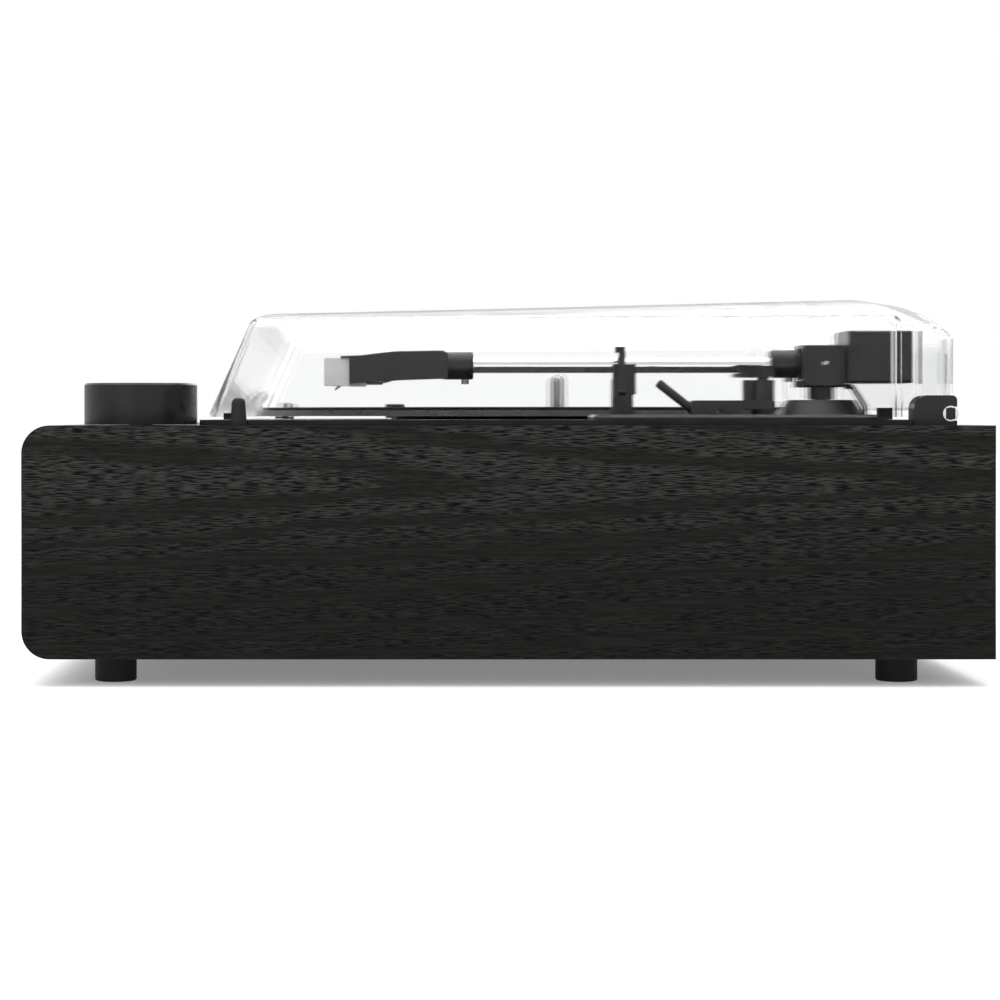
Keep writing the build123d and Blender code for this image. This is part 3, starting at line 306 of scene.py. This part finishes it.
# ---- Feet
# Four moulded black rubber feet, each hollowed a little underneath. Their stems push into holes in the
# bottom panel.
def moulded(name, colour, roughness, grain=0.0006, relief=0.25, patchy=0.06, gloss=0.35):
    """A moulded finish with a fine surface texture and slight unevenness in its gloss."""
    material, tree, shader = new_nodes(name)
    place = tree.nodes.new("ShaderNodeTexCoord").outputs["Object"]
    cloud = noise_on(tree, place, 45.0, 3.0)
    tint = tree.nodes.new("ShaderNodeMix")
    tint.data_type = "RGBA"
    tint.inputs["A"].default_value = (*[c * 0.8 for c in colour], 1)
    tint.inputs["B"].default_value = (*[min(1, c * 1.25) for c in colour], 1)
    tree.links.new(cloud, tint.inputs["Factor"])
    tree.links.new(tint.outputs["Result"], shader.inputs["Base Color"])
    tree.links.new(between(tree, cloud, 0.3, 0.7, roughness - patchy, roughness + patchy),
                   shader.inputs["Roughness"])
    bump = add_node(tree, "ShaderNodeBump", strength=relief, distance=0.00005)
    tree.links.new(noise_on(tree, place, 1 / grain, 2.0), bump.inputs["Height"])
    tree.links.new(bump.outputs["Normal"], shader.inputs["Normal"])
    shader.inputs["Specular IOR Level"].default_value = gloss
    return material


rubber = moulded("rubber", (0.009, 0.009, 0.009), 0.7, 0.0005, 0.4, gloss=0.25)
give(rubber, "feet")
soften_edges("feet", 0.0004)

# ---- Front grille and baffle
# Black cloth is stretched over a frame that presses into the cabinet's front. Behind it a painted
# fibreboard baffle carries the two speakers.
WEAVE = 0.0011


def cloth(name, across, up):
    """Open plain-weave cloth: two sets of threads that cross."""
    material, tree, shader = new_nodes(name)
    place = tree.nodes.new("ShaderNodeTexCoord").outputs["Object"]
    parts = tree.nodes.new("ShaderNodeSeparateXYZ")
    tree.links.new(place, parts.inputs[0])
    threads = []
    for axis in (across, up):
        turns = math_node(tree, "MULTIPLY", parts.outputs[axis], 2 * math.pi / WEAVE)
        threads.append(math_node(tree, "ABSOLUTE", math_node(tree, "SINE", turns, 0.0), 0.0))
    weave = math_node(tree, "MAXIMUM", threads[0], threads[1])
    tint = tree.nodes.new("ShaderNodeMix")
    tint.data_type = "RGBA"
    tint.inputs["A"].default_value = (0.002, 0.002, 0.002, 1)
    tint.inputs["B"].default_value = (0.016, 0.016, 0.017, 1)
    tree.links.new(weave, tint.inputs["Factor"])
    tree.links.new(tint.outputs["Result"], shader.inputs["Base Color"])
    shader.inputs["Roughness"].default_value = 0.95
    shader.inputs["Specular IOR Level"].default_value = 0.1
    shader.inputs["Sheen Weight"].default_value = 0.15
    bump = add_node(tree, "ShaderNodeBump", strength=0.7, distance=0.0003)
    tree.links.new(weave, bump.inputs["Height"])
    tree.links.new(bump.outputs["Normal"], shader.inputs["Normal"])
    return material


give(cloth("grille_cloth", "X", "Z"), "speaker_grille")
give(moulded("baffle_paint", (0.010, 0.010, 0.010), 0.75, 0.0012, 0.5, gloss=0.2), "front_baffle")
soften_edges("speaker_grille", 0.0012, 3)

# ---- Speakers
# Pressed steel baskets with ferrite magnets, screwed to the baffle's back, and black paper cones
# with a dust cap glued in the middle.
def metal(name, colour, roughness, scratch, direction):
    """Bare metal with fine lines along its turning or drawing direction."""
    material, tree, shader = new_nodes(name)
    place = tree.nodes.new("ShaderNodeTexCoord").outputs["Object"]
    lines = noise_on(tree, stretched(tree, place, direction), 1.0, 4.0, 0.7)
    shader.inputs["Base Color"].default_value = (*colour, 1)
    shader.inputs["Metallic"].default_value = 1.0
    tree.links.new(between(tree, lines, 0.25, 0.75, roughness * 0.7, roughness * 1.5),
                   shader.inputs["Roughness"])
    bump = add_node(tree, "ShaderNodeBump", strength=scratch, distance=0.00003)
    tree.links.new(lines, bump.inputs["Height"])
    tree.links.new(bump.outputs["Normal"], shader.inputs["Normal"])
    return material


def two_tone(name, first, second, axis, middle, reach, rough=0.5, metallic=0.0):
    """The second colour within reach of a place along one axis, and the first outside it."""
    material, tree, shader = new_nodes(name)
    place = tree.nodes.new("ShaderNodeTexCoord").outputs["Object"]
    parts = tree.nodes.new("ShaderNodeSeparateXYZ")
    tree.links.new(place, parts.inputs[0])
    off = math_node(tree, "ABSOLUTE", math_node(tree, "SUBTRACT", parts.outputs[axis], middle), 0.0)
    inside = math_node(tree, "LESS_THAN", off, reach)
    tint = tree.nodes.new("ShaderNodeMix")
    tint.data_type = "RGBA"
    tint.inputs["A"].default_value = (*first, 1)
    tint.inputs["B"].default_value = (*second, 1)
    tree.links.new(inside, tint.inputs["Factor"])
    tree.links.new(tint.outputs["Result"], shader.inputs["Base Color"])
    shader.inputs["Metallic"].default_value = metallic
    grain = noise_on(tree, place, 900.0, 2.0)
    tree.links.new(between(tree, grain, 0.3, 0.7, rough - 0.08, rough + 0.08), shader.inputs["Roughness"])
    bump = add_node(tree, "ShaderNodeBump", strength=0.2, distance=0.00008)
    tree.links.new(grain, bump.inputs["Height"])
    tree.links.new(bump.outputs["Normal"], shader.inputs["Normal"])
    return material


MAGNET_PLACE = -0.1518
MAGNET_HALF = 0.0078
basket_and_magnet = two_tone("basket_and_magnet", (0.30, 0.30, 0.31), (0.035, 0.034, 0.034), "Y",
                             MAGNET_PLACE, MAGNET_HALF, 0.45, 0.6)
give(basket_and_magnet, "speaker_drivers")
give(moulded("paper_cone", (0.012, 0.012, 0.012), 0.9, 0.0009, 0.7, gloss=0.15), "speaker_cones")

# ---- Rear wall and its sockets
# A black fibreboard wall let into the cabinet's back. The mains inlet and switch snap into it, and
# the phono sockets are nickel barrels with a white and a red ring for left and right.
RING_INNER = 0.0043
RING_OUTER = 0.0061
RING_CHAMFER = 0.0002
RING_BACK = 0.19895
RING_FACE = 0.1996
JACK_HEIGHT = 0.060


def lathe(name, profile, centre, along="Z", steps=64, smooth=True):
    """A closed profile of (radius, place along the axis) turned all the way round."""
    points = []
    faces = []
    for step in range(steps):
        angle = 2 * math.pi * step / steps
        for radius, height in profile:
            first = centre[0] + radius * math.cos(angle)
            second = centre[1] + radius * math.sin(angle)
            points.append((first, second, height) if along == "Z" else (first, height, second))
    count = len(profile)
    for step in range(steps):
        after = (step + 1) % steps
        for i in range(count):
            j = (i + 1) % count
            ring = (step * count + i, step * count + j, after * count + j, after * count + i)
            faces.append(ring[::-1] if along == "Z" else ring)
    return add_mesh(name, points, faces, smooth)


give(moulded("rear_board", (0.009, 0.009, 0.009), 0.65, 0.001, 0.4, gloss=0.25), "rear_panel")
shiny_plastic = moulded("shiny_plastic", (0.006, 0.006, 0.006), 0.25, 0.0008, 0.12)
give(shiny_plastic, "power_inlet", "power_switch_case", "power_rocker")
nickel = metal("nickel", (0.60, 0.57, 0.52), 0.22, 0.2, (600, 60, 600))
give(nickel, "signal_jacks")
for name in ("power_inlet", "power_switch_case", "power_rocker"):
    soften_edges(name, 0.00025)
ring_profile = [(RING_INNER, RING_BACK), (RING_OUTER, RING_BACK), (RING_OUTER, RING_FACE - RING_CHAMFER),
                (RING_OUTER - RING_CHAMFER, RING_FACE), (RING_INNER + RING_CHAMFER, RING_FACE),
                (RING_INNER, RING_FACE - RING_CHAMFER)]
JACKS = (("left", 0.070, (0.75, 0.75, 0.73)), ("right", 0.090, (0.45, 0.015, 0.012)))
for side, place, colour in JACKS:
    ring = lathe(f"{side}_jack_ring", ring_profile, (place, JACK_HEIGHT), "Y", 48)
    ring.data.materials.append(moulded(f"{side}_ring", colour, 0.35, 0.0008, 0.1))
    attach(ring, "chassis")

# ---- Amplifier and transformer
# A glass-fibre board on four spacers with its capacitors, relay, chip and finned heat sink, beside a
# laminated iron transformer with a copper winding. All of it is inside the cabinet.
board_green = moulded("board_green", (0.012, 0.075, 0.030), 0.4, 0.0012, 0.3)
give(board_green, "amplifier_board")
SINK_PLACE = 0.080
SINK_HALF = 0.0101
CORE_PLACE = 0.130
CORE_HALF = 0.02005
sink_and_parts = two_tone("sink_and_parts", (0.015, 0.017, 0.03), (0.55, 0.55, 0.57), "Y",
                          SINK_PLACE, SINK_HALF, 0.35, 0.5)
give(sink_and_parts, "board_parts")
iron_and_copper = two_tone("iron_and_copper", (0.50, 0.22, 0.10), (0.10, 0.10, 0.105), "Y",
                           CORE_PLACE, CORE_HALF, 0.4, 0.7)
give(iron_and_copper, "transformer")

# ---- Deck plate
# Pressed aluminium sheet painted gloss black, laid on the top panel and held at its corners by
# countersunk screws.
deck_black = moulded("deck_black", (0.0045, 0.0045, 0.0045), 0.12, 0.004, 0.05, 0.03)
give(deck_black, "deck_plate")
soften_edges("deck_plate", 0.0005, 3)

# ---- Screws
# Black countersunk cross-head screws go through the deck plate and hinge bases into the panel, and
# zinc-plated pan heads hold the well and the motor.
SCREW_FACE = 0.1098
DECK_SCREW_X = 0.1985
DECK_SCREW_FRONT = -0.119
DECK_SCREW_REAR = 0.150
HINGE_SCREW = (0.1998, 0.1734, 0.117)
CROSS_LONG = 0.0019
CROSS_WIDE = 0.00038
CROSS_LIFT = 0.00004
screw_black = moulded("screw_black", (0.012, 0.012, 0.012), 0.28, 0.0008, 0.1)
give(screw_black, "deck_screws")
give(metal("zinc", (0.55, 0.56, 0.58), 0.3, 0.3, (300, 300, 300)), "drive_screws")


def crosses(name, places):
    """Painted shade in the cross recess of each screw head: a flat near-black cross, each at (x, y, z) and
    turned by an angle.
    """
    points = []
    faces = []
    for x, y, z, turn in places:
        for quarter in (0, 1):
            angle = turn + quarter * math.pi / 2
            run = Vector((math.cos(angle), math.sin(angle), 0))
            side = Vector((-run.y, run.x, 0)) * CROSS_WIDE
            middle = Vector((x, y, z + CROSS_LIFT * (1 + quarter * 0.2)))
            start = len(points)
            for along, across in ((-1, -1), (1, -1), (1, 1), (-1, 1)):
                points.append(middle + run * CROSS_LONG * along + side * across)
            faces.append(tuple(range(start, start + 4)))
    return add_mesh(name, points, faces, False)


deck_places = [(DECK_SCREW_X * side, y, SCREW_FACE, turn)
               for side, y, turn in ((-1, DECK_SCREW_FRONT, 0.4), (1, DECK_SCREW_FRONT, 1.1),
                                     (-1, DECK_SCREW_REAR, 0.9), (1, DECK_SCREW_REAR, 0.2))]
deck_places += [(HINGE_SCREW[0] * side, *HINGE_SCREW[1:], turn) for side, turn in ((-1, 0.7), (1, 0.3))]
# Flat near-black crosses just above the screw heads stand in for the shade in each cross recess: painted
# shade.
painted_recess_shade = crosses("screw_recess_painted_shade", deck_places)
painted_recess_shade.data.materials.append(moulded("recess_painted_shade", (0.001, 0.001, 0.001), 0.8, gloss=0.1))
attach(painted_recess_shade, "chassis")

# ---- Cover posts and slide controls
# Two soft rubber posts stand beside the cover's front, and two round ABS caps on flat stems work the
# speed and auto-stop switches under the deck.
black_plastic = moulded("black_plastic", (0.006, 0.006, 0.006), 0.38)
give(rubber, "lid_posts")
give(black_plastic, "speed_selector", "auto_stop_switch", "slide_switches")
soften_edges("speed_selector", 0.0003)
soften_edges("auto_stop_switch", 0.0003)

# ---- Volume control
# A turned aluminium cup, black anodised, with fine turning lines and a filled pointer line. It sits on
# the shaft of a rotary control whose can hangs under the top panel.
KNOB = (0.175, -0.1555)
POINTER_WIDE = 0.0012
POINTER_LONG = 0.0085
POINTER_START = 0.0135
POINTER_LIFT = 0.00004


def turned(name, colour, roughness, centre, pitch, relief, metallic=0.0, gloss=0.4):
    """A lathe-turned surface: fine rings about an upright axis, which also catch the light."""
    material, tree, shader = new_nodes(name)
    place = tree.nodes.new("ShaderNodeTexCoord").outputs["Object"]
    parts = tree.nodes.new("ShaderNodeSeparateXYZ")
    tree.links.new(place, parts.inputs[0])
    east = math_node(tree, "SUBTRACT", parts.outputs["X"], centre[0])
    north = math_node(tree, "SUBTRACT", parts.outputs["Y"], centre[1])
    squared = math_node(tree, "ADD", math_node(tree, "MULTIPLY", east, east),
                        math_node(tree, "MULTIPLY", north, north))
    out = math_node(tree, "ADD", math_node(tree, "POWER", squared, 0.5), parts.outputs["Z"])
    rings = math_node(tree, "SINE", math_node(tree, "MULTIPLY", out, 2 * math.pi / pitch), 0.0)
    shader.inputs["Base Color"].default_value = (*colour, 1)
    shader.inputs["Metallic"].default_value = metallic
    cloud = noise_on(tree, place, 120.0)
    uneven = between(tree, cloud, 0.3, 0.7, roughness * 0.85, roughness * 1.15)
    tree.links.new(uneven, shader.inputs["Roughness"])
    shader.inputs["Specular IOR Level"].default_value = gloss
    bump = add_node(tree, "ShaderNodeBump", strength=relief, distance=0.00003)
    tree.links.new(rings, bump.inputs["Height"])
    tree.links.new(bump.outputs["Normal"], shader.inputs["Normal"])
    return material


give(turned("knob_black", (0.005, 0.005, 0.005), 0.26, KNOB, 0.0004, 0.25, gloss=0.3), "volume_knob")
soften_edges("volume_knob", 0.0003)
give(nickel, "volume_pot")
knob_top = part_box("volume_knob")[1].z
pointer_corners = [(KNOB[0] + side * POINTER_WIDE / 2, KNOB[1] - POINTER_START - end * POINTER_LONG,
                    knob_top + POINTER_LIFT)
                   for side, end in ((-1, 0), (1, 0), (1, 1), (-1, 1))]
pointer = add_mesh("knob_pointer", pointer_corners, [(0, 1, 2, 3)])
pointer.data.materials.append(moulded("pointer_white", (0.55, 0.55, 0.54), 0.5))
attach(pointer, "volume_control")

# ---- Platter, mat and spindle
# A cast and turned aluminium platter, lacquered black, under a loose rubber mat with moulded rings.
# The record spindle is ground steel, pressed into the platter's hub.
SPIN = (-0.010, 0.0323)
MAT_LOW = 0.1140
MAT_TOP = 0.1154
MAT_HOLE = 0.0037
MAT_RADIUS = 0.146
MAT_EDGE = (0.0005, 0.0004)
GROOVE_STEP = 0.0052
GROOVE_DEPTH = 0.0005
GROOVE_SLANT = 0.0004
GROOVE_FLOOR = 0.0010
LABEL_RADIUS = 0.049
LABEL_DEPTH = 0.0006
GROOVES_START = 0.0045
GROOVES_END = 0.006
give(turned("platter_black", (0.004, 0.004, 0.004), 0.3, SPIN, 0.0005, 0.05, gloss=0.15), "platter")
soften_edges("platter", 0.0003)
give(turned("ground_steel", (0.28, 0.28, 0.29), 0.2, SPIN, 0.0003, 0.03, 1.0), "spindle")
profile = [(MAT_HOLE, MAT_LOW), (MAT_HOLE, MAT_TOP - LABEL_DEPTH), (LABEL_RADIUS, MAT_TOP - LABEL_DEPTH),
           (LABEL_RADIUS + LABEL_DEPTH, MAT_TOP)]
groove = LABEL_RADIUS + GROOVES_START
while groove < MAT_RADIUS - GROOVES_END:
    floor_start = groove + GROOVE_SLANT
    floor_end = floor_start + GROOVE_FLOOR
    profile += [(groove, MAT_TOP), (floor_start, MAT_TOP - GROOVE_DEPTH),
                (floor_end, MAT_TOP - GROOVE_DEPTH), (floor_end + GROOVE_SLANT, MAT_TOP)]
    groove += GROOVE_STEP
profile += [(MAT_RADIUS - MAT_EDGE[0], MAT_TOP), (MAT_RADIUS, MAT_TOP - MAT_EDGE[1]), (MAT_RADIUS, MAT_LOW)]
mat = lathe("grooved_mat", profile, SPIN, "Z", 160, False)
mat.data.materials.append(moulded("mat_rubber", (0.006, 0.006, 0.006), 0.7, 0.0006, 0.4, gloss=0.12))
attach(mat, "platter_body")
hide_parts("platter_mat")

# ---- Drive
# The well is a moulded dish with a steel bearing housing and brass bush. A flat rubber belt runs from
# the motor's steel pulley round the ring under the platter.
give(moulded("well_plastic", (0.010, 0.010, 0.010), 0.6, gloss=0.25), "platter_well")
give(metal("housing_steel", (0.50, 0.50, 0.51), 0.3, 0.3, (300, 300, 60)), "bearing_housing", "motor",
     "motor_pulley")
brass = metal("brass", (0.62, 0.42, 0.16), 0.25, 0.25, (300, 300, 2000))
give(brass, "bearing_bush")
give(moulded("belt_rubber", (0.014, 0.013, 0.012), 0.5, 0.0004, 0.2), "drive_belt")
give(rubber, "motor_grommets")

# ---- Arm platform, rest and cueing lift
# ABS mouldings on the deck: a low platform, the arm's round base, the post with its swinging clip,
# and the lift, whose curved bar stands on a plunger that the round lever lets down.
give(black_plastic, "arm_platform", "arm_base", "arm_rest", "arm_clip", "lift_bracket", "lift_bar",
     "cue_lever")
for name, width in (("arm_platform", 0.0004), ("arm_base", 0.0003), ("arm_rest", 0.0003),
                    ("arm_clip", 0.0002), ("lift_bracket", 0.00025), ("lift_bar", 0.0002),
                    ("cue_lever", 0.0002)):
    soften_edges(name, width)

# ---- Tonearm
# A drawn and chromed aluminium tube glued into a black sleeve at the pivot and clamped by a collar at
# the headshell. The weight is a black-painted block, and chromed pivot screws carry the arm in its
# housing.
chrome = metal("chrome", (0.66, 0.66, 0.67), 0.06, 0.06, (300, 20, 300))
screw_steel = metal("screw_steel", (0.16, 0.16, 0.17), 0.3, 0.1, (300, 300, 300))
satin_black = moulded("satin_black", (0.006, 0.006, 0.006), 0.32, 0.0008, 0.15)
give(chrome, "arm_tube", "pivot_screws")
give(screw_steel, "arm_screws")
give(satin_black, "arm_turret", "arm_sleeve", "arm_collar", "pivot_block", "counterweight")
for name, width in (("arm_turret", 0.0004), ("arm_sleeve", 0.0002), ("arm_collar", 0.0003),
                    ("pivot_block", 0.0003), ("counterweight", 0.0004)):
    soften_edges(name, width, 3)

# ---- Headshell and cartridge
# The headshell is a black moulding, with four coloured leads from the tube to the cartridge's pins.
# The cartridge is a silver-grey moulding let into the shell's front, and its stylus sits underneath.
SHELL_X = 0.155
LEAD_THICK = 0.0006
PIN_THICK = 0.0011
give(moulded("headshell_black", (0.008, 0.008, 0.008), 0.5, 0.0006, 0.35), "headshell")
soften_edges("headshell", 0.0003)
give(moulded("cartridge_grey", (0.42, 0.42, 0.43), 0.38, 0.0006, 0.15), "cartridge")
soften_edges("cartridge", 0.0002)
give(moulded("stylus_tip", (0.25, 0.25, 0.26), 0.25, 0.0006, 0.1), "stylus")


def wire(name, points, thickness, body):
    """A round wire through some points."""
    data = bpy.data.curves.new(name, "CURVE")
    data.dimensions = "3D"
    data.bevel_depth = thickness / 2
    data.bevel_resolution = 3
    data.use_fill_caps = True
    line = data.splines.new("NURBS")
    line.points.add(len(points) - 1)
    for knot, place in zip(line.points, points):
        knot.co = (*place, 1)
    line.order_u = min(3, len(points))
    line.use_endpoint_u = True
    line.resolution_u = 8
    route = bpy.data.objects.new(f"{name}_route", data)
    mesh = bpy.data.meshes.new_from_object(route)
    mesh.polygons.foreach_set("use_smooth", [True] * len(mesh.polygons))
    bpy.data.objects.remove(route)
    piece = bpy.data.objects.new(name, mesh)
    scene.collection.objects.link(piece)
    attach(piece, body)
    return piece


LEADS = (("white", -0.0048, (0.7, 0.7, 0.68)), ("red", -0.0016, (0.45, 0.02, 0.015)),
         ("blue", 0.0016, (0.02, 0.06, 0.35)), ("green", 0.0048, (0.02, 0.22, 0.05)))
for label, offset, colour in LEADS:
    route = [(SHELL_X + offset * 0.6, -0.0440, 0.1290), (SHELL_X + offset, -0.0490, 0.1262),
             (SHELL_X + offset, -0.0535, 0.1257)]
    lead = wire(f"{label}_lead", route, LEAD_THICK, "tonearm")
    lead.data.materials.append(moulded(f"{label}_wire", colour, 0.45, 0.0008, 0.1))
    pin_ends = [(SHELL_X + offset, -0.0525, 0.1255), (SHELL_X + offset, -0.0595, 0.1255)]
    pin = wire(f"{label}_clip", pin_ends, PIN_THICK, "tonearm")
    pin.data.materials.append(screw_steel)

# ---- Arm lead
# A thin black screened lead that comes out of the arm's housing and goes down through the platform.
# It is left slack for the arm to swing.
give(rubber, "arm_lead")

# ---- Hinges
# ABS clevises screwed to the cabinet. Steel pins in white nylon sleeves lie in their open notches, and
# the clear leaves that they go through push up into boxes in the cover.
give(black_plastic, "hinge_bases")
give(moulded("nylon", (0.72, 0.72, 0.70), 0.4, 0.0008, 0.1), "hinge_pins")
soften_edges("hinge_bases", 0.0003)
PIN_AXIS = Vector((0, 0.1842, 0.1124))
CORE_FACE_X = 0.20632
CORE_SIZE = (0.0021, 0.0023)
CORE_CHAMFER = 0.0002
CORE_POINT = 1.22
CORE_FACE = 0.94
core_outline = [(CORE_SIZE[0] * side, CORE_SIZE[1] * up)
                for side, up in ((-1, -1), (0, -CORE_POINT), (1, -1), (1, 1), (0, CORE_POINT), (-1, 1))]
for label, outward in (("right", 1), ("left", -1)):
    x = CORE_FACE_X * outward
    rim = [(x - outward * CORE_CHAMFER, PIN_AXIS.y + along, PIN_AXIS.z + up) for along, up in core_outline]
    face = [(x, PIN_AXIS.y + along * CORE_FACE, PIN_AXIS.z + up * CORE_FACE) for along, up in core_outline]
    count = len(core_outline)
    sides = [(i, (i + 1) % count, count + (i + 1) % count, count + i) for i in range(count)]
    core = add_mesh(f"{label}_pin_core", rim + face, sides + [tuple(range(count, 2 * count))], False)
    core.data.materials.append(satin_black)
    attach(core, "lid")

# ---- Dust cover
# One clear acrylic moulding with a crowned roof, sloped front and two boxes that take the hinge leaves.
# Its flat walls let most light straight through, and its rounded edges bend it more.
CLEARNESS = 0.40
ACRYLIC_BEND = 1.2
clear, tree, shader = new_nodes("clear_acrylic")
shader.inputs["Base Color"].default_value = (0.97, 0.975, 0.975, 1)
shader.inputs["Transmission Weight"].default_value = 1.0
shader.inputs["IOR"].default_value = ACRYLIC_BEND
place = tree.nodes.new("ShaderNodeTexCoord").outputs["Object"]
tree.links.new(between(tree, noise_on(tree, place, 30.0), 0.3, 0.7, 0.0, 0.012), shader.inputs["Roughness"])
shadow = tree.nodes.new("ShaderNodeLightPath")
pass_through = tree.nodes.new("ShaderNodeBsdfTransparent")
pass_through.inputs["Color"].default_value = (0.985, 0.987, 0.987, 1)
mix = tree.nodes.new("ShaderNodeMixShader")
facing = tree.nodes.new("ShaderNodeSeparateXYZ")
tree.links.new(tree.nodes.new("ShaderNodeNewGeometry").outputs["True Normal"], facing.inputs[0])
sideways = math_node(tree, "ABSOLUTE", facing.outputs["X"], 0.0)
on_edge = math_node(tree, "MULTIPLY", sideways, math_node(tree, "SUBTRACT", 1.0, sideways))
flatness = between(tree, on_edge, 0.02, 0.16, CLEARNESS, 0.0)
let_by = math_node(tree, "MAXIMUM", shadow.outputs["Is Shadow Ray"], flatness)
tree.links.new(let_by, mix.inputs[0])
tree.links.new(shader.outputs[0], mix.inputs[1])
tree.links.new(pass_through.outputs[0], mix.inputs[2])
tree.links.new(mix.outputs[0], tree.nodes["Material Output"].inputs[0])
give(clear, "dust_cover", "hinge_leaves")
give(rubber, "cover_bumpers")
